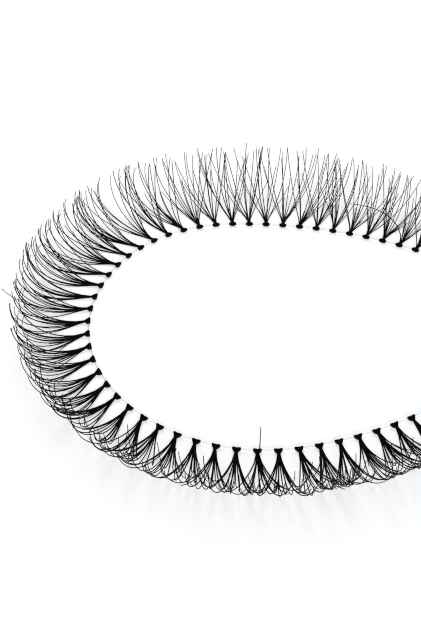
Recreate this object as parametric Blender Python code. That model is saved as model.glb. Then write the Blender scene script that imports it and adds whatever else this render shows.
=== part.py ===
"""False eyelash strip: tied lash clusters on one fine clear thread, laid down in an open loop."""
import math

import bmesh
import bpy
from mathutils import Vector

# Lengths are in metres and angles in degrees.

# The strip, from its far free end round the left to its near free end
CLUSTER_COUNT = 51
PITCH = 0.0020                  # from one knot to the next
THREAD_TAIL = 0.0035            # bare thread past the last bend, at each end
START_HEADING = 140.9           # direction of the thread as it leaves the far end
FAR_SIDE_RADIUS = 0.0431
FAR_SIDE_LENGTH = 0.0309
FAR_TURN_RADIUS = 0.0154
FAR_TURN_LENGTH = 0.0143
NEAR_TURN_RADIUS = 0.0184
NEAR_TURN_LENGTH = 0.0437
NEAR_SIDE_RADIUS = 0.0388       # this last arc takes the rest of the strip

# The thread
THREAD_DIAMETER = 0.00014
THREAD_BEVEL_RESOLUTION = 2     # eight sides

# The knot's head, with a six-sided hole for the thread
THREAD_CLEARANCE = 0.00004      # between the thread and the flats of the hole
HOLE_SIDES = 6
HEAD_WIDTH = 0.00084            # along the thread
HEAD_TOP_WALL = 0.00008         # over the hole, at the two lobes
HEAD_SIDE_WALL = 0.00010        # between the hole and the flat glue face
HEAD_FOOT_WALL = 0.00020        # under the hole, down to the flat foot
FOOT_DEPTH = 0.00026            # flat foot, across the thread
GLUE_FACE_HEIGHT = 0.00020      # flat face on the inner side of the loop

# The waist narrows from the head to the neck, where the hairs leave
WAIST_LENGTH = 0.00047
NECK_WIDTH = 0.00036
NECK_HEIGHT = 0.00014

# The hairs, in curled locks: they leave the neck just below level and turn upwards
HAIR_LENGTH = 0.0101            # from the neck to the tip
HAIR_START_ANGLE = -15.0
HAIR_TIP_ANGLE = 82.0
CURL_END_SHARE = 0.94           # the hair is straight past this share of its length
FAN_ANGLE = 16.0                # of the outer locks to either side of the middle
LOCK_WIDTH = 0.00011
LOCK_HEIGHT = 0.00010
LOCK_GAP = 0.00015              # between locks of neighbouring clusters where they cross
LAYER_END_SHARE = 0.30          # the locks lie in their layers from this share of the length

# Sections along the knot: place as a share of half the head's width, wall as a share of HEAD_TOP_WALL.
# A lock leaves the neck between each two of them.
HEAD_SECTIONS = (
    {"place": -1.00, "wall": 0.30},
    {"place": -0.55, "wall": 1.00},
    {"place": 0.00, "wall": 0.50},
    {"place": 0.55, "wall": 1.00},
    {"place": 1.00, "wall": 0.30},
)

# Sections along a lock: place as a share of HAIR_LENGTH, size as a share of the lock's width and height
LOCK_SECTIONS = (
    {"place": 0.16, "size": 1.00},
    {"place": 0.38, "size": 0.95},
    {"place": 0.60, "size": 0.80},
    {"place": 0.81, "size": 0.55},
    {"place": 1.00, "size": 0.00},
)

LOCK_COUNT = len(HEAD_SECTIONS) - 1
HOLE_RADIUS = (THREAD_DIAMETER / 2.0 + THREAD_CLEARANCE) / math.cos(math.pi / HOLE_SIDES)
HEAD_HALF_DEPTH = HOLE_RADIUS + HEAD_SIDE_WALL
HEAD_FOOT = -(HOLE_RADIUS + HEAD_FOOT_WALL)
NECK_REACH = HEAD_HALF_DEPTH + WAIST_LENGTH
LAYER_STEP = (LOCK_HEIGHT + LOCK_GAP) / 2.0     # locks that cross lie two layers apart or more


def clear_scene():
    for obj in list(bpy.data.objects):
        bpy.data.objects.remove(obj, do_unlink=True)


def make_material(name, color, roughness, alpha=1.0):
    material = bpy.data.materials.new(name)
    material.use_nodes = True
    shader = material.node_tree.nodes["Principled BSDF"]
    shader.inputs["Base Color"].default_value = (*color, 1.0)
    shader.inputs["Roughness"].default_value = roughness
    shader.inputs["Metallic"].default_value = 0.0
    shader.inputs["Alpha"].default_value = alpha
    return material


def route_point(distance):
    """Point of the thread's route, this far along it from the far free end."""
    arcs = (
        (FAR_SIDE_RADIUS, FAR_SIDE_LENGTH),
        (FAR_TURN_RADIUS, FAR_TURN_LENGTH),
        (NEAR_TURN_RADIUS, NEAR_TURN_LENGTH),
        (NEAR_SIDE_RADIUS, math.inf),
    )
    point = Vector((0.0, 0.0, 0.0))
    heading = math.radians(START_HEADING)
    left = distance
    for radius, length in arcs:
        run = min(left, length)
        turned = heading + run / radius
        point.x += radius * (math.sin(turned) - math.sin(heading))
        point.y -= radius * (math.cos(turned) - math.cos(heading))
        heading = turned
        left -= run
        if left <= 0.0:
            break
    return point


def thread_points(height):
    """The thread is straight through each knot, and bends halfway between two of them."""
    bends = [route_point(THREAD_TAIL + index * PITCH) for index in range(CLUSTER_COUNT + 1)]
    length = 2.0 * THREAD_TAIL + CLUSTER_COUNT * PITCH
    points = [route_point(0.0), *bends, route_point(length)]
    return [point + Vector((0.0, 0.0, height)) for point in points]


def hair_point(share):
    """Distance out and up from the neck at this share of the hair's length, and its slope there."""
    start = math.radians(HAIR_START_ANGLE)
    curl_length = HAIR_LENGTH * CURL_END_SHARE
    radius = curl_length / (math.radians(HAIR_TIP_ANGLE) - start)
    run = min(HAIR_LENGTH * share, curl_length)
    straight = HAIR_LENGTH * share - run
    slope = start + run / radius
    out = radius * (math.sin(slope) - math.sin(start)) + straight * math.cos(slope)
    up = radius * (math.cos(start) - math.cos(slope)) + straight * math.sin(slope)
    return out, up, slope


def lock_point(lock, share):
    """Middle of a lock at this share of its length, and the direction towards the inside of its curl."""
    out, up, slope = hair_point(share)
    outermost = (LOCK_COUNT - 1) / 2.0
    side = lock - outermost
    fan = math.radians(FAN_ANGLE) * side / outermost
    inwards = Vector((0.0, -math.sin(slope), math.cos(slope)))
    layer = LAYER_STEP * side * min(share / LAYER_END_SHARE, 1.0)
    base = Vector((side * NECK_WIDTH / LOCK_COUNT, NECK_REACH, 0.0))
    return base + Vector((out * math.tan(fan), out, up)) + layer * inwards, inwards


def head_ring(section):
    """Outside of the head at one section, from the waist's top edge over the head to its bottom edge."""
    x = section["place"] * HEAD_WIDTH / 2.0
    return [
        Vector((x, HEAD_HALF_DEPTH, GLUE_FACE_HEIGHT / 2.0)),
        Vector((x, 0.0, HOLE_RADIUS + HEAD_TOP_WALL * section["wall"])),
        Vector((x, -HEAD_HALF_DEPTH, GLUE_FACE_HEIGHT / 2.0)),
        Vector((x, -HEAD_HALF_DEPTH, -GLUE_FACE_HEIGHT / 2.0)),
        Vector((x, -FOOT_DEPTH / 2.0, HEAD_FOOT)),
        Vector((x, FOOT_DEPTH / 2.0, HEAD_FOOT)),
    ]


def hole_ring(x):
    ring = []
    for index in range(HOLE_SIDES):
        angle = (2 * index + 1) * math.pi / HOLE_SIDES
        ring.append(Vector((x, HOLE_RADIUS * math.cos(angle), HOLE_RADIUS * math.sin(angle))))
    return ring


def bridge(bm, first, second, closed=True):
    """Faces between two rows with the same number of points."""
    count = len(first)
    for index in range(count if closed else count - 1):
        following = (index + 1) % count
        bm.faces.new((first[index], first[following], second[following], second[index]))


def add_head(bm):
    """Head of the knot with the thread's hole; gives the top and bottom edges of its open outward side."""
    outside = [[bm.verts.new(point) for point in head_ring(section)] for section in HEAD_SECTIONS]
    hole = [[bm.verts.new(point) for point in hole_ring(side * HEAD_WIDTH / 2.0)] for side in (-1, 1)]
    for first, second in zip(outside, outside[1:]):
        bridge(bm, first, second, closed=False)
    bridge(bm, hole[0], hole[1])
    bridge(bm, outside[0], hole[0])
    bridge(bm, outside[-1], hole[1])
    return [ring[0] for ring in outside], [ring[-1] for ring in outside]


def add_waist(bm, top, bottom):
    """Waist from the head's open side to the neck; gives the neck's top and bottom edges."""
    neck = []
    for height in (NECK_HEIGHT / 2.0, -NECK_HEIGHT / 2.0):
        places = [NECK_WIDTH * (index / LOCK_COUNT - 0.5) for index in range(LOCK_COUNT + 1)]
        neck.append([bm.verts.new((x, NECK_REACH, height)) for x in places])
    neck_top, neck_bottom = neck
    bridge(bm, top, neck_top, closed=False)
    bridge(bm, neck_bottom, bottom, closed=False)
    for end in (0, -1):
        bm.faces.new((top[end], neck_top[end], neck_bottom[end], bottom[end]))
    return neck_top, neck_bottom


def add_lock(bm, lock, top, bottom):
    """Three-sided lock from its stretch of the neck to a point at its tip, with a flat outer side."""
    rings = []
    for section in LOCK_SECTIONS[:-1]:
        point, inwards = lock_point(lock, section["place"])
        side = Vector((LOCK_WIDTH * section["size"] / 2.0, 0.0, 0.0))
        height = LOCK_HEIGHT * section["size"] * inwards
        ring = (point + height * 2.0 / 3.0, point - height / 3.0 + side, point - height / 3.0 - side)
        rings.append([bm.verts.new(corner) for corner in ring])
    ridge, right, left = rings[0]
    bm.faces.new((top[0], top[1], ridge))
    bm.faces.new((top[1], bottom[1], right, ridge))
    bm.faces.new((bottom[1], bottom[0], left, right))
    bm.faces.new((bottom[0], top[0], ridge, left))
    for first, second in zip(rings, rings[1:]):
        bridge(bm, first, second)
    tip = bm.verts.new(lock_point(lock, LOCK_SECTIONS[-1]["place"])[0])
    ridge, right, left = rings[-1]
    for first, second in ((ridge, right), (right, left), (left, ridge)):
        bm.faces.new((first, second, tip))


def cluster_mesh():
    """One tied fan: X runs along the thread, whose axis is at 0, and Y points out of the loop."""
    bm = bmesh.new()
    top, bottom = add_head(bm)
    neck_top, neck_bottom = add_waist(bm, top, bottom)
    for lock in range(LOCK_COUNT):
        add_lock(bm, lock, neck_top[lock:lock + 2], neck_bottom[lock:lock + 2])
    bmesh.ops.recalc_face_normals(bm, faces=bm.faces)
    mesh = bpy.data.meshes.new("lash_cluster")
    bm.to_mesh(mesh)
    bm.free()
    return mesh


def thread_curve(points):
    curve = bpy.data.curves.new("band_thread", "CURVE")
    curve.dimensions = "3D"
    curve.bevel_depth = THREAD_DIAMETER / 2.0
    curve.bevel_resolution = THREAD_BEVEL_RESOLUTION
    curve.use_fill_caps = True
    spline = curve.splines.new("POLY")
    spline.points.add(len(points) - 1)
    for spline_point, point in zip(spline.points, points):
        spline_point.co = (*point, 1.0)
    return curve


def add_object(name, data, frame):
    obj = bpy.data.objects.new(name, data)
    obj.parent = frame
    bpy.context.collection.objects.link(obj)
    return obj


def foot_of_box(objects):
    """Middle of the underside of the box round the objects."""
    depsgraph = bpy.context.evaluated_depsgraph_get()
    points = []
    for obj in objects:
        solid = obj.evaluated_get(depsgraph)
        points += [obj.matrix_world @ vertex.co for vertex in solid.to_mesh().vertices]
        solid.to_mesh_clear()
    lowest = Vector([min(point[axis] for point in points) for axis in range(3)])
    highest = Vector([max(point[axis] for point in points) for axis in range(3)])
    middle = (lowest + highest) / 2.0
    return Vector((middle.x, middle.y, lowest.z))


def build_strip():
    frame = bpy.data.objects.new("strip_frame", None)
    bpy.context.collection.objects.link(frame)

    cluster = cluster_mesh()
    cluster.materials.append(make_material("black_fibre", (0.012, 0.012, 0.013), 0.45))
    points = thread_points(height=-min(vertex.co.z for vertex in cluster.vertices))
    thread = thread_curve(points)
    thread.materials.append(make_material("clear_thread", (0.86, 0.88, 0.88), 0.15, alpha=0.6))

    strip = [add_object("band_thread", thread, frame)]
    bends = points[1:-1]
    for index, (first, second) in enumerate(zip(bends, bends[1:]), start=1):
        obj = add_object(f"lash_cluster_{index:02d}", cluster, frame)
        obj.location = (first + second) / 2.0
        obj.rotation_euler.z = math.atan2(first.y - second.y, first.x - second.x)
        strip.append(obj)

    bpy.context.view_layer.update()
    frame.location = -foot_of_box(strip)
    bpy.context.view_layer.update()


clear_scene()
build_strip()
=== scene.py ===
import math
import random

import bpy
from mathutils import Matrix, Vector, kdtree


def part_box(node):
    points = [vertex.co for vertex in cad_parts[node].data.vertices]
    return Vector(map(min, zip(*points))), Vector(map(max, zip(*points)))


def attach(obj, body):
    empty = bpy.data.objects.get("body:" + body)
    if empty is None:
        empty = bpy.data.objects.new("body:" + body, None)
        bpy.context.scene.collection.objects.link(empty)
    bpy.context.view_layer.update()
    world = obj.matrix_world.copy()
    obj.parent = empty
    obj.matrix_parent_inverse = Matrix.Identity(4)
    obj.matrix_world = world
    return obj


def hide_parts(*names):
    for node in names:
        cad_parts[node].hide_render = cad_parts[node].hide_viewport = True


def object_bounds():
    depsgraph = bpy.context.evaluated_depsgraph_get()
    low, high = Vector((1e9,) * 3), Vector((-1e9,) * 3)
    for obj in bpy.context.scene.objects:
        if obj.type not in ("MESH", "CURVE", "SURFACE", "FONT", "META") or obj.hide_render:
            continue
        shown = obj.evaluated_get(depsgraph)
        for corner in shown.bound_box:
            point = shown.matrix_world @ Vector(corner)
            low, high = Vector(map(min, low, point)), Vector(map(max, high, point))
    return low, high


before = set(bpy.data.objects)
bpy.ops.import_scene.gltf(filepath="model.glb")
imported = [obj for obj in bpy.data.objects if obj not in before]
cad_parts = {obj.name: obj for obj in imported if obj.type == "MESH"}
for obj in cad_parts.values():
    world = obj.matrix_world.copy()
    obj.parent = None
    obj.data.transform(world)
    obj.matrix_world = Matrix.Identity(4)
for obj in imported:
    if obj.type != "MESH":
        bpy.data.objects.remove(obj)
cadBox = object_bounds()

# Lengths are in metres and angles in degrees, unless a note says otherwise.

weldDistance = 0.000001      # points nearer to each other than this are one point
decimals = 6                 # of a metre, where the frame's points are compared
footRoom = 0.000002          # the frame's points up to this height over a fan's lowest are its flat foot


class ShaderValue:
    # One output socket of a material. An expression on it adds its Math nodes.
    def __init__(self, finish, socket):
        self.finish = finish
        self.socket = socket

    def math(self, operation, first, second):
        return self.finish.node("ShaderNodeMath", {"operation": operation}, {0: first, 1: second})

    def __add__(self, other):
        return self.math("ADD", self, other)

    def __radd__(self, other):
        return self.math("ADD", other, self)

    def __mul__(self, other):
        return self.math("MULTIPLY", self, other)

    def __pow__(self, other):
        return self.math("POWER", self, other)


class Finish:
    # A material under construction, with the shader's sockets set by name
    def __init__(self, name):
        self.material = bpy.data.materials.new(name)
        self.material.use_nodes = True
        self.tree = self.material.node_tree
        self.shader = self.tree.nodes["Principled BSDF"]

    def feed(self, socket, value):
        if isinstance(value, ShaderValue):
            self.tree.links.new(value.socket, socket)
        elif socket.type == "RGBA" and len(value) == 3:
            socket.default_value = (*value, 1.0)
        else:
            socket.default_value = value

    def node(self, kind, settings=None, inputs=None, output=0):
        made = self.tree.nodes.new(kind)
        for key, value in (settings or {}).items():
            setattr(made, key, value)
        for key, value in (inputs or {}).items():
            self.feed(made.inputs[key], value)
        return ShaderValue(self, made.outputs[output])

    def noise(self, scale, detail, roughness=0.55):
        place = self.node("ShaderNodeTexCoord", output="Object")
        return self.node("ShaderNodeTexNoise", inputs={
            "Vector": place, "Scale": scale, "Detail": detail, "Roughness": roughness}, output="Fac")

    def mixColor(self, share, first, second):
        made = self.tree.nodes.new("ShaderNodeMix")
        made.data_type = "RGBA"
        self.feed(made.inputs["Factor"], share)
        for name, value in (("A", first), ("B", second)):
            socket = next(s for s in made.inputs if s.name == name and s.type == "RGBA")
            self.feed(socket, value)
        return ShaderValue(self, next(s for s in made.outputs if s.type == "RGBA"))

    def bump(self, height, strength, distance):
        return self.node("ShaderNodeBump", inputs={
            "Strength": strength, "Distance": distance, "Height": height}, output="Normal")

    def set(self, **values):
        for name, value in values.items():
            self.feed(self.shader.inputs[name.replace("_", " ")], value)
        return self.material


def deselectAll():
    if bpy.context.object and bpy.context.object.mode != "OBJECT":
        bpy.ops.object.mode_set(mode="OBJECT")
    bpy.ops.object.select_all(action="DESELECT")


def pickOnly(obj):
    deselectAll()
    obj.select_set(True)
    bpy.context.view_layer.objects.active = obj


def pickPoints(obj, test):
    # Edit mode, with just the points that pass the test selected
    pickOnly(obj)
    bpy.ops.object.mode_set(mode="EDIT")
    bpy.ops.mesh.select_mode(type="VERT")
    bpy.ops.mesh.select_all(action="DESELECT")
    bpy.ops.object.mode_set(mode="OBJECT")
    for vertex in obj.data.vertices:
        vertex.select = test(vertex.co)
    bpy.ops.object.mode_set(mode="EDIT")


def allPoints(point):
    return True


def applyPlace(obj):
    pickOnly(obj)
    bpy.ops.object.transform_apply(location=True, rotation=True, scale=True)


def copied(obj):
    twin = obj.copy()
    twin.data = obj.data.copy()
    bpy.context.scene.collection.objects.link(twin)
    return twin


def joined(name, parts):
    pickOnly(parts[0])
    for part in parts[1:]:
        part.select_set(True)
    bpy.ops.object.join()
    piece = bpy.context.object
    piece.name = piece.data.name = name
    return piece


def between(stops, place):
    # Reads a short table of (place, value) stops at any place
    for (start, first), (end, second) in zip(stops, stops[1:]):
        if place <= end:
            share = max(0.0, place - start) / (end - start)
            return first + (second - first) * share
    return stops[-1][1]


def strands(name, paths, thickness, roundness):
    # Round strands along the paths, closed at both ends. A path is a list of points,
    # each with its share of the thickness.
    curve = bpy.data.curves.new(name, "CURVE")
    curve.dimensions = "3D"
    curve.bevel_depth = thickness / 2.0
    curve.bevel_resolution = roundness
    curve.use_fill_caps = True
    for path in paths:
        spline = curve.splines.new("POLY")
        spline.points.add(len(path) - 1)
        for splinePoint, (point, share) in zip(spline.points, path):
            splinePoint.co = (*point, 1.0)
            splinePoint.radius = share
    obj = bpy.data.objects.new(name, curve)
    bpy.context.scene.collection.objects.link(obj)
    pickOnly(obj)
    bpy.ops.object.convert(target="MESH")
    strand = bpy.context.object
    # the end caps come with points of their own
    pickPoints(strand, allPoints)
    bpy.ops.mesh.remove_doubles(threshold=weldDistance)
    bpy.ops.mesh.normals_make_consistent(inside=False)
    bpy.ops.object.mode_set(mode="OBJECT")
    return strand


def finishPiece(piece, finish, node):
    piece.data.materials.clear()
    piece.data.materials.append(finish)
    pickOnly(piece)
    bpy.ops.object.shade_smooth()
    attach(piece, "root")
    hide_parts(node)


# The camera, at the photo's angle

cameraView = {
    "target": (-0.00604, 0.00139, 0.000327),   # on the level of the thread
    "elevation": 42.1,
    "distance": 0.116227,
    "focalPixels": 1071.5,
    "imageHeight": 631,
    "sensor": 36.0,                            # millimetres, on the picture's long side
    "clipStart": 0.01,
    "clipEnd": 20.0,
}


def setCamera():
    lens = bpy.data.cameras.new("photo_camera")
    lens.sensor_fit = "VERTICAL"
    lens.sensor_height = cameraView["sensor"]
    lens.lens = cameraView["sensor"] * cameraView["focalPixels"] / cameraView["imageHeight"]
    lens.clip_start = cameraView["clipStart"]
    lens.clip_end = cameraView["clipEnd"]
    camera = bpy.data.objects.new("photo_camera", lens)
    bpy.context.scene.collection.objects.link(camera)
    tilt = math.radians(cameraView["elevation"])
    back = Vector((0.0, -math.cos(tilt), math.sin(tilt))) * cameraView["distance"]
    camera.location = Vector(cameraView["target"]) + back
    camera.rotation_euler = (math.radians(90.0) - tilt, 0.0, 0.0)
    bpy.context.scene.camera = camera


# The studio: a white table, a soft sky, a lamp behind the strip and a weaker one in front

studio = {
    "skyColor": (0.93, 1.0, 0.99),
    "skyStrength": 0.28,
    "lamps": (
        {"name": "back_softbox", "size": 0.14, "power": 0.33, "place": (-0.03, 0.24, 0.345)},
        {"name": "front_softbox", "size": 0.07, "power": 0.45, "place": (0.03, -0.36, 0.18)},
    ),
    "filterWidth": 1.15,       # pixels
}

whiteFloor = {
    "size": 6.0,
    "color": (0.93, 0.935, 0.935),
    "shade": 0.985,            # share of the colour that its faint clouds go down to
    "cloudScale": 9.0,
    "cloudDetail": 2.0,
    "roughness": 0.55,
    "cloudRoughness": 0.1,
    "specular": 0.2,
    "glowColor": (1.0, 1.0, 1.0),
    "glow": 0.53,              # the white table is lit from below as well
}


def floorFinish():
    finish = Finish("white_floor_finish")
    cloud = finish.noise(whiteFloor["cloudScale"], whiteFloor["cloudDetail"])
    shaded = tuple(value * whiteFloor["shade"] for value in whiteFloor["color"])
    return finish.set(
        Base_Color=finish.mixColor(cloud, shaded, whiteFloor["color"]),
        Roughness=whiteFloor["roughness"] + cloud * whiteFloor["cloudRoughness"],
        Specular_IOR_Level=whiteFloor["specular"],
        Emission_Color=whiteFloor["glowColor"],
        Emission_Strength=whiteFloor["glow"],
    )


def setStudio():
    world = bpy.data.worlds.new("soft_sky")
    bpy.context.scene.world = world
    world.use_nodes = True
    sky = world.node_tree.nodes["Background"]
    sky.inputs["Color"].default_value = (*studio["skyColor"], 1.0)
    sky.inputs["Strength"].default_value = studio["skyStrength"]

    deselectAll()
    bpy.ops.mesh.primitive_plane_add(size=whiteFloor["size"])
    floor = bpy.context.object
    floor.name = "white_floor"
    floor.data.materials.append(floorFinish())

    for lamp in studio["lamps"]:
        light = bpy.data.lights.new(lamp["name"], "AREA")
        light.size = lamp["size"]
        light.energy = lamp["power"]
        obj = bpy.data.objects.new(lamp["name"], light)
        bpy.context.scene.collection.objects.link(obj)
        obj.location = lamp["place"]
        obj.rotation_euler = (-Vector(lamp["place"])).to_track_quat("-Z", "Y").to_euler()
    bpy.context.scene.view_settings.view_transform = "Standard"
    bpy.context.scene.view_settings.look = "None"
    bpy.context.scene.cycles.filter_width = studio["filterWidth"]


# The clear thread that carries every knot

clearThread = {
    "thickness": 0.00014,
    "stepsPerKnot": 3,
    "roundness": 2,            # bevel resolution: eight sides
    "tint": (0.93, 0.95, 0.95),
    "streakTint": (0.85, 0.88, 0.88),
    "streakScale": 1400.0,
    "streakDetail": 2.0,
    "roughness": 0.10,
    "streakRoughness": 0.12,
    "transmission": 0.85,
    "ior": 1.50,
    "opacity": 0.55,
    "bumpStrength": 0.12,
    "bumpDepth": 0.00001,
}


def clearThreadFinish():
    finish = Finish("clear_thread_finish")
    streaks = finish.noise(clearThread["streakScale"], clearThread["streakDetail"])
    return finish.set(
        Base_Color=finish.mixColor(streaks, clearThread["streakTint"], clearThread["tint"]),
        Roughness=clearThread["roughness"] + streaks * clearThread["streakRoughness"],
        Transmission_Weight=clearThread["transmission"],
        IOR=clearThread["ior"],
        Alpha=clearThread["opacity"],
        Normal=finish.bump(streaks, clearThread["bumpStrength"], clearThread["bumpDepth"]),
    )


def threadEnd(knot):
    # Middle of the frame's thread at its free end on this knot's side of the loop. Both ends point to +X.
    points = [vertex.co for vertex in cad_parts["band_thread"].data.vertices]
    side = [point for point in points if point.y * knot.y > 0.0]
    edge = max(point.x for point in side) - clearThread["thickness"]
    ring = [point for point in side if point.x > edge]
    return sum(ring, Vector()) / len(ring)


def threadPath(places):
    # From one free end through every knot, along the knot's own direction, to the other free end
    knots = [place.translation for place in places]
    first, last = threadEnd(knots[0]), threadEnd(knots[-1])
    stops = [first, *knots, last]
    ways = [-place.col[0].to_3d() for place in places]
    ways = [(knots[0] - first).normalized(), *ways, (last - knots[-1]).normalized()]
    path = []
    for index in range(len(stops) - 1):
        start, end = stops[index], stops[index + 1]
        reach = (end - start).length
        for step in range(clearThread["stepsPerKnot"]):
            # a smooth bend that leaves the start and meets the end in their own directions
            t = step / clearThread["stepsPerKnot"]
            point = (2 * t ** 3 - 3 * t ** 2 + 1) * start + (t ** 3 - 2 * t ** 2 + t) * reach * ways[index]
            point += (3 * t ** 2 - 2 * t ** 3) * end + (t ** 3 - t ** 2) * reach * ways[index + 1]
            path.append((point, 1.0))
    path.append((last, 1.0))
    return path


def makeThread(places, finish):
    path = threadPath(places)
    thread = strands("clear_thread", [path], clearThread["thickness"], clearThread["roundness"])
    finishPiece(thread, finish, "band_thread")


# The tied knot of a fan, modelled once round the thread's axis: X along the thread, Y out of the loop

tiedKnot = {
    "folds": 9,                # hairs folded over the thread, side by side
    "foldThickness": 0.000104,
    "foldSteps": 14,           # round the thread
    "foldSides": 6,
    "headWidth": 0.00086,      # along the thread
    "headTop": 0.000207,       # over the thread's axis
    "headFoot": 0.000327,      # under it, down to the floor
    "headHalfDepth": 0.000165,
    "lobePlace": 0.70,         # share of half the width at which the head is highest
    "middleHeight": 0.56,      # height of the head at its middle, and at its ends, against the lobes
    "endHeight": 0.90,
    "footEnd": 0.40,           # how deep the head still reaches at its ends
    "bellyRoundness": 0.75,
    "neckReach": 0.00046,      # from the thread's axis to the neck
    "neckWidth": 0.00026,
    "neckHeight": 0.00017,
    "neckDrop": 0.00003,       # of the neck below the thread's axis
    # the two pulls out to the neck: (share of the depth from which it pulls, squeeze in height)
    "neckPulls": ((0.55, 0.70), (0.85, 0.5)),
    "gatherPlaces": (1.0, 1.6),                 # the folds come together past these shares of the depth
    "waistStart": 0.00008,
    "waistWidth": 0.00067,
    "waistHeight": 1.3,        # share of the neck's height
    "waistEnd": 0.75,          # share of the waist's height at its outer end
}


def headTopSize(share):
    # Height of the head over the thread at this share of half its width: two lobes with a dip between them
    lobe = tiedKnot["lobePlace"]
    if abs(share) < lobe:
        rise = math.sin(abs(share) / lobe * math.pi / 2.0) ** 2
        return tiedKnot["middleHeight"] + (1.0 - tiedKnot["middleHeight"]) * rise
    fall = (abs(share) - lobe) / (1.0 - lobe)
    return 1.0 - (1.0 - tiedKnot["endHeight"]) * fall ** 2


def headFootSize(share):
    # Depth of the head under the thread: a round belly, deepest in the middle
    belly = (1.0 - share ** 2) ** tiedKnot["bellyRoundness"]
    return tiedKnot["footEnd"] + (1.0 - tiedKnot["footEnd"]) * belly


def modelFold():
    # One hair folded over the thread: a ring round it whose outer side is drawn out to the neck
    strand = tiedKnot["foldThickness"] / 2.0
    depth = tiedKnot["headHalfDepth"] - strand
    high = tiedKnot["headTop"]
    low = tiedKnot["headFoot"]
    deselectAll()
    bpy.ops.mesh.primitive_torus_add(
        major_segments=tiedKnot["foldSteps"], minor_segments=tiedKnot["foldSides"],
        major_radius=depth, minor_radius=strand, rotation=(0.0, math.radians(90.0), 0.0))
    fold = bpy.context.object
    applyPlace(fold)
    # the ring is taller than deep, and hangs lower under the thread than it rises over it
    stretch = (high + low) / (2.0 * (depth + strand))
    pickPoints(fold, allPoints)
    bpy.ops.transform.resize(value=(1.0, 1.0, stretch), center_override=(0.0, 0.0, 0.0))
    bpy.ops.transform.translate(value=(0.0, 0.0, (high - low) / 2.0))
    # its outer side goes out to the neck in two pulls, and closes there
    pull = (tiedKnot["neckReach"] - depth) / 2.0
    neck = (0.0, 0.0, -tiedKnot["neckDrop"])
    for index, (start, squeeze) in enumerate(tiedKnot["neckPulls"]):
        pickPoints(fold, lambda co: co.y > depth * start + pull * index)
        bpy.ops.transform.translate(value=(0.0, pull, 0.0))
        bpy.ops.transform.resize(value=(1.0, 1.0, squeeze), center_override=neck)
    bpy.ops.object.mode_set(mode="OBJECT")
    return fold


def modelWaist():
    # The glued waist between the folds: wide at the head, narrow at the neck
    start, end = tiedKnot["waistStart"], tiedKnot["neckReach"] + tiedKnot["foldThickness"] / 2.0
    deselectAll()
    bpy.ops.mesh.primitive_cube_add(size=1.0, location=(0.0, (start + end) / 2.0, -tiedKnot["neckDrop"]))
    waist = bpy.context.object
    waist.scale = (tiedKnot["waistWidth"], end - start, tiedKnot["neckHeight"] * tiedKnot["waistHeight"])
    applyPlace(waist)
    pickPoints(waist, lambda co: co.y > (start + end) / 2.0)
    narrowing = tiedKnot["neckWidth"] / tiedKnot["waistWidth"]
    bpy.ops.transform.resize(value=(narrowing, 1.0, tiedKnot["waistEnd"]))
    pickPoints(waist, allPoints)
    bpy.ops.mesh.subdivide(number_cuts=2)
    bpy.ops.object.mode_set(mode="OBJECT")
    rounding = waist.modifiers.new("rounding", "SUBSURF")
    rounding.levels = rounding.render_levels = 1
    bpy.ops.object.modifier_apply(modifier=rounding.name)
    return waist


def modelKnot():
    fold = modelFold()
    parts = [modelWaist()]
    half = (tiedKnot["headWidth"] - tiedKnot["foldThickness"]) / 2.0
    depth = tiedKnot["headHalfDepth"]
    gather = (tiedKnot["neckWidth"] / tiedKnot["headWidth"] - 1.0) / 2.0
    for index in range(tiedKnot["folds"]):
        share = 2.0 * index / (tiedKnot["folds"] - 1) - 1.0
        turn = copied(fold)
        pickPoints(turn, lambda co: co.y < depth and co.z > 0.0)
        bpy.ops.transform.resize(value=(1.0, 1.0, headTopSize(share)), center_override=(0.0, 0.0, 0.0))
        pickPoints(turn, lambda co: co.y < depth and co.z < 0.0)
        bpy.ops.transform.resize(value=(1.0, 1.0, headFootSize(share)), center_override=(0.0, 0.0, 0.0))
        pickPoints(turn, allPoints)
        bpy.ops.transform.translate(value=(share * half, 0.0, 0.0))
        # the folds come together towards the neck in two steps
        for start in tiedKnot["gatherPlaces"]:
            pickPoints(turn, lambda co: co.y > depth * start)
            bpy.ops.transform.translate(value=(share * half * gather, 0.0, 0.0))
        bpy.ops.object.mode_set(mode="OBJECT")
        parts.append(turn)
    bpy.data.objects.remove(fold, do_unlink=True)
    knot = joined("tied_knot", parts)
    pickPoints(knot, allPoints)
    bpy.ops.mesh.normals_make_consistent(inside=False)
    bpy.ops.object.mode_set(mode="OBJECT")
    return knot


# The hairs of a fan: they leave the neck almost level in a few locks, and curl up and out

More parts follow.
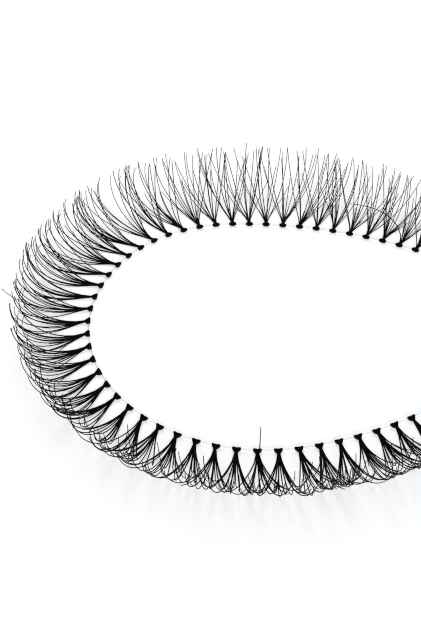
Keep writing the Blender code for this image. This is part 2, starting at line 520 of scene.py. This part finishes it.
lashHair = {
    # the kinds of hair in one fan: how many, whether the near fans have more of them, their shortest
    # and longest share of the length, whether their tips are steeper, and the share of the fan's width
    # that they take
    "kinds": (
        {"count": 7, "more": 1, "shortest": 0.84, "longest": 1.03, "steps": 12, "steeper": 0, "width": 1.0},
        {"count": 1, "more": 0, "shortest": 0.90, "longest": 1.00, "steps": 12, "steeper": 1, "width": 0.9},
        {"count": 3, "more": 0, "shortest": 0.55, "longest": 0.88, "steps": 10, "steeper": 0, "width": 0.9},
        {"count": 2, "more": 0, "shortest": 0.25, "longest": 0.45, "steps": 6, "steeper": 0, "width": 0.55},
    ),
    "length": 0.0108,
    # what changes on the way round the loop, each as stops of (number of the fan, value)
    "extraHairs": ((30, 0), (40, 2)),
    "lengthShares": (
        (7, 0.99), (10, 1.09), (14, 1.10), (18, 1.13), (24, 1.05), (28, 0.98), (34, 0.95), (39, 1.0)),
    "tipAngles": ((7, 90), (10, 82), (14, 81), (18, 90), (22, 105), (28, 108), (36, 105), (40, 97)),
    "steeperTips": ((26, 22), (38, 37)),
    "curlPowers": ((14, 1.4), (19, 1.75), (24, 1.75), (30, 1.4)),   # over 1, the tip curls tighter
    "leans": (
        (1, 3), (5, 5), (11, 4), (13, -5), (20, -6), (24, -2), (28, -12), (35, -16), (39, -5), (45, 2)),
    "thicknessShares": ((12, 0.97), (18, 1.07), (38, 1.15)),
    "locks": 7,
    "lockShift": 0.42,         # share of a lock's own room, either way
    "lockSpread": 2.6,         # between the hairs of a lock
    "fanAngle": 23.5,          # of the outer hairs, to either side
    "spreadDelay": 0.0011,     # the hairs stay together over this length before they spread
    "fanShift": 2.5,           # by which a whole fan leans aside
    "thickness": 0.000146,
    "thicknessRange": (0.88, 1.06),             # shares of it, from hair to hair
    # how a hair thins out, as stops of (share of its length, share of its thickness)
    "thinning": ((0.0, 0.84), (0.22, 0.76), (0.5, 0.63), (0.8, 0.56), (1.0, 0.46)),
    "rootReach": 0.00032,      # inside the waist, from the thread's axis
    "rootSpread": 0.3,         # share of the neck's width, to either side
    "rootHeights": (-0.3, 0.4),                 # shares of the neck's height
    "startAngle": -10.0,       # below level at the knot
    "startSpread": 2.0,
    "tipSpread": 7.0,
    "stepCrowding": 0.85,      # the steps along the hair are shorter towards the tip
    "sideDrift": 0.0009,       # how far a tip strays sideways
    "mostDrift": 1.8,          # times that, at most
    "flare": 0.0008,           # how far the outer hairs bend out of the fan
    "driftPower": 2.0,
    "wave": 0.00007,
    "waveSizes": (0.3, 1.0),   # shares of it
    "waveCounts": (0.6, 1.6),  # along the whole hair
    "meetingShare": 0.30,      # of the hairs whose tip leans to a neighbour's
    "meetingAngle": 16.0,      # between such neighbours, at most
    "floorGap": 0.00001,
    "liftStep": 0.5,           # by which a hair that touches the floor is lifted
    "topRoom": 0.00012,        # the hairs may rise this far past the frame's solids
    "trimStep": 0.99,          # by which a hair that rises further is shortened
    "roundness": 1,            # bevel resolution: six sides
    "seed": 11000,             # each fan adds its own number
}

# Single hairs that stand out of their fan. They have no wave, and no drift but what is given here.
# Everything else that isn't given is as in the fan's first hair.
strayHairs = (
    {"fan": 4, "azimuth": 0.0, "startAngle": 40.0, "tipAngle": 460.0, "length": 0.0050, "size": 1.1,
     "drift": -0.0065},
    {"fan": 26, "azimuth": 0.0, "startAngle": -9.0, "tipAngle": 64.0, "length": 0.0101, "size": 0.95},
    {"fan": 41, "azimuth": 4.0, "startAngle": 88.0, "tipAngle": 96.0, "length": 0.0037, "size": 1.0,
     "rootX": -0.0002},
)

blackFibre = {
    "dark": (0.0008, 0.0008, 0.0010),
    "pale": (0.0028, 0.0026, 0.0025),
    "tip": (0.010, 0.0095, 0.009),
    "tipPower": 2.0,
    "tipShare": 0.8,
    "grainScale": 2600.0,
    "grainDetail": 3.0,
    "grainShare": 0.7,
    "patchScale": 450.0,
    "patchDetail": 1.0,
    "patchShare": 0.3,
    "roughness": 0.42,
    "grainRoughness": 0.18,
    "tipRoughness": 0.10,
    "specular": 0.08,
    "bumpStrength": 0.35,
    "bumpDepth": 0.00001,
}


def blackFibreFinish():
    # Fine grain in larger patches, a little paler and rougher towards the tips
    finish = Finish("black_fibre_finish")
    along = finish.node("ShaderNodeAttribute", {"attribute_name": "alongHair"}, output="Fac")
    grain = finish.noise(blackFibre["grainScale"], blackFibre["grainDetail"])
    patches = finish.noise(blackFibre["patchScale"], blackFibre["patchDetail"])
    cover = grain * blackFibre["grainShare"] + patches * blackFibre["patchShare"]
    color = finish.mixColor(cover, blackFibre["dark"], blackFibre["pale"])
    tips = along ** blackFibre["tipPower"] * blackFibre["tipShare"]
    grainRoughness = blackFibre["roughness"] + grain * blackFibre["grainRoughness"]
    return finish.set(
        Base_Color=finish.mixColor(tips, color, blackFibre["tip"]),
        Roughness=grainRoughness + along * blackFibre["tipRoughness"],
        Specular_IOR_Level=blackFibre["specular"],
        Normal=finish.bump(grain, blackFibre["bumpStrength"], blackFibre["bumpDepth"]),
    )


def fanPlace(node, height):
    # Where a fan of the frame sits: its flat foot gives the knot's middle, and its hairs the way out
    # of the loop
    points = [vertex.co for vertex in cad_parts[node].data.vertices]
    everywhere = {tuple(round(value, decimals) for value in point) for point in points}
    lowest = min(point[2] for point in everywhere)
    foot = [point for point in everywhere if point[2] < lowest + footRoom]
    middle = sum((Vector(point) for point in foot), Vector()) / len(foot)
    spread = sum((Vector(point) for point in everywhere), Vector()) / len(everywhere)
    outward = (spread - middle).xy.normalized().to_3d()
    along = Vector((outward.y, -outward.x, 0.0))
    place = Matrix((along, outward, (0.0, 0.0, 1.0))).transposed().to_4x4()
    place.translation = Vector((middle.x, middle.y, height))
    return place


def hairPath(hair):
    # Steps along the hair from its root. Its slope depends on the distance from the root, so a short
    # hair lies as the start of a long one does.
    turn = math.radians(hair["azimuth"])
    lean = math.radians(hair["lean"])
    out = up = 0.0
    path = []
    for step in range(hair["steps"] + 1):
        share = (step / hair["steps"]) ** lashHair["stepCrowding"]
        spread = out * out / (out + lashHair["spreadDelay"])
        sway = hair["drift"] * share ** lashHair["driftPower"]
        sway += hair["wave"] * share * math.sin(2.0 * math.pi * (share * hair["waves"] + hair["phase"]))
        x = spread * math.sin(turn) + sway
        y = out * math.cos(turn)
        path.append((Vector((
            hair["rootX"] + x * math.cos(lean) + y * math.sin(lean),
            lashHair["rootReach"] + y * math.cos(lean) - x * math.sin(lean),
            hair["rootZ"] + up,
        )), hair["size"] * between(lashHair["thinning"], share)))
        nextShare = ((step + 1) / hair["steps"]) ** lashHair["stepCrowding"]
        stride = (nextShare - share) * hair["length"]
        middle = (share + nextShare) / 2.0 * hair["length"] / lashHair["length"]
        rise = (hair["tipAngle"] - hair["startAngle"]) * middle ** hair["curlPower"]
        slope = math.radians(hair["startAngle"] + rise)
        out += stride * math.cos(slope)
        up += stride * math.sin(slope)
    return path


def drawHairs(draw, number):
    # The hairs of one fan, each as what makes its path
    locks = lashHair["locks"]
    shift = lashHair["lockShift"]
    limit = lashHair["mostDrift"]
    middles = [2.0 * (lock + 0.5 + draw.uniform(-shift, shift)) / locks - 1.0 for lock in range(locks)]
    lean = between(lashHair["leans"], number) + draw.gauss(0.0, 1.0) * lashHair["fanShift"]
    length = lashHair["length"] * between(lashHair["lengthShares"], number)
    tipAngle = between(lashHair["tipAngles"], number)
    steeper = between(lashHair["steeperTips"], number)
    thickness = between(lashHair["thicknessShares"], number)
    hairs = []
    for kind in lashHair["kinds"]:
        order = draw.sample(range(locks), locks)
        extra = kind["more"] * round(between(lashHair["extraHairs"], number))
        for index in range(kind["count"] + extra):
            place = middles[order[index % locks]] * kind["width"]
            hairs.append({
                "azimuth": place * lashHair["fanAngle"] + draw.gauss(0.0, 1.0) * lashHair["lockSpread"],
                "lean": lean,
                "length": length * draw.uniform(kind["shortest"], kind["longest"]),
                "startAngle": lashHair["startAngle"] + draw.uniform(-1.0, 1.0) * lashHair["startSpread"],
                "tipAngle": (tipAngle + kind["steeper"] * steeper
                             + draw.uniform(-1.0, 1.0) * lashHair["tipSpread"]),
                "curlPower": between(lashHair["curlPowers"], number),
                "rootX": place * tiedKnot["neckWidth"] * lashHair["rootSpread"],
                "rootZ": (draw.uniform(*lashHair["rootHeights"]) * tiedKnot["neckHeight"]
                          - tiedKnot["neckDrop"]),
                "drift": draw.triangular(-limit, limit) * lashHair["sideDrift"] + place * lashHair["flare"],
                "wave": draw.uniform(*lashHair["waveSizes"]) * lashHair["wave"],
                "waves": draw.uniform(*lashHair["waveCounts"]),
                "phase": draw.random(),
                "steps": kind["steps"],
                "size": thickness * draw.uniform(*lashHair["thicknessRange"]),
            })
    # the tips of some long neighbours meet
    longest = hairs[:lashHair["kinds"][0]["count"]]
    for first, second in zip(longest, longest[1:]):
        apart = abs(first["azimuth"] - second["azimuth"])
        if draw.random() < lashHair["meetingShare"] and apart < lashHair["meetingAngle"]:
            second["length"] = first["length"]
            second["tipAngle"] = first["tipAngle"]
            gap = hairPath(second)[-1][0].x - hairPath(first)[-1][0].x
            first["drift"] += gap / 2.0
            second["drift"] -= gap / 2.0
    return hairs


def fitHair(hair):
    # Keeps a hair between the floor and the top of the frame
    floor = lashHair["thickness"] / 2.0 + lashHair["floorGap"] - threadHeight
    top = cadBox[1].z + lashHair["topRoom"] - threadHeight
    while min(point.z for point, size in hairPath(hair)) < floor:
        hair["startAngle"] += lashHair["liftStep"]
    while max(point.z for point, size in hairPath(hair)) > top:
        hair["length"] *= lashHair["trimStep"]


def markAlong(obj, paths):
    # Stores on each point how far along its hair it lies, for the finish
    stops = [
        (point, step / (len(path) - 1)) for path in paths for step, (point, size) in enumerate(path)]
    tree = kdtree.KDTree(len(stops))
    for index, (point, share) in enumerate(stops):
        tree.insert(point, index)
    tree.balance()
    attribute = obj.data.attributes.new("alongHair", "FLOAT", "POINT")
    nearest = [tree.find(vertex.co)[1] for vertex in obj.data.vertices]
    attribute.data.foreach_set("value", [stops[index][1] for index in nearest])


def makeFan(number, knot, finish):
    node = f"lash_cluster_{number:02d}"
    place = fanPlace(node, threadHeight)
    hairs = drawHairs(random.Random(lashHair["seed"] + number), number)
    for stray in strayHairs:
        if stray["fan"] == number:
            hairs.append({**hairs[0], "drift": 0.0, "wave": 0.0, **stray})
    for hair in hairs:
        fitHair(hair)
    paths = [[(place @ point, size) for point, size in hairPath(hair)] for hair in hairs]
    fringe = strands("fringe", paths, lashHair["thickness"], lashHair["roundness"])
    markAlong(fringe, paths)
    head = copied(knot)
    head.matrix_world = place
    applyPlace(head)
    fan = joined(f"tied_fan_{number:02d}", [fringe, head])
    finishPiece(fan, finish, node)
    return place


threadLow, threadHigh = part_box("band_thread")
threadHeight = (threadLow.z + threadHigh.z) / 2.0

setCamera()
setStudio()
print("camera and studio set")

fanCount = sum(name.startswith("lash_cluster_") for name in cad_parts)
knotModel = modelKnot()
print("knot modelled")
fibreFinish = blackFibreFinish()
fanPlaces = [makeFan(number, knotModel, fibreFinish) for number in range(1, fanCount + 1)]
bpy.data.objects.remove(knotModel, do_unlink=True)
print(f"{fanCount} fans tied")
makeThread(fanPlaces, clearThreadFinish())
print("thread laid")
